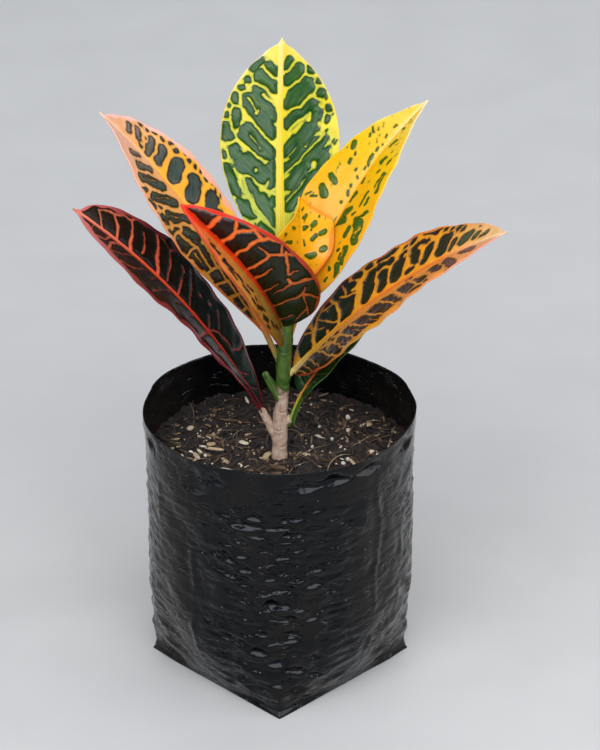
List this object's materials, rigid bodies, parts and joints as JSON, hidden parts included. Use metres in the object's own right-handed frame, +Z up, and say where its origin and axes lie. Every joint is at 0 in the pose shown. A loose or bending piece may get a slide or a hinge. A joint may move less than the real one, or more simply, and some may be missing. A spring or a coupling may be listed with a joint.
{
  "type": "potted croton",
  "caption": "Young croton with broad patterned leaves on a short stem, growing in a soil-filled black film nursery bag that stands on its flat square base.",
  "frame": {"origin": "centre of the bag's underside, on the surface it stands on", "axes": "+Z up; the picture is taken from the front, along +Y; the bag's square base stands with its corners on the X and Y axes"},
  "size_m": [0.2283, 0.1664, 0.3368],
  "materials": {
    "bag": "glossy black polythene film, finely crinkled",
    "soil": "damp fibrous potting mix with bark chips and perlite",
    "stem": "young bark, green above",
    "leaf_back": "glossy leaf, deep green patches between yellow veins",
    "leaf_back_right": "glossy leaf, golden yellow with small green flecks",
    "leaf_small_inner": "glossy young leaf, golden orange with green dots",
    "leaf_upper_left": "glossy leaf, green patches between yellow-orange veins, pink margin",
    "leaf_front_centre": "glossy leaf, near-black green patches between orange veins, red margin",
    "leaf_lower_left": "glossy leaf, near-black green patches between crimson veins",
    "leaf_right": "glossy leaf, dark green patches between orange veins",
    "leaf_lower_right": "glossy leaf, dark green with an orange-red midrib"
  },
  "bodies": {
    "root": {"bag": "bag", "soil": "soil", "stem": "stem", "leaf_back": "leaf_back", "leaf_back_right": "leaf_back_right", "leaf_small_inner": "leaf_small_inner", "leaf_upper_left": "leaf_upper_left", "leaf_front_centre": "leaf_front_centre", "leaf_lower_left": "leaf_lower_left", "leaf_right": "leaf_right", "leaf_lower_right": "leaf_lower_right"}
  },
  "joints": []
}
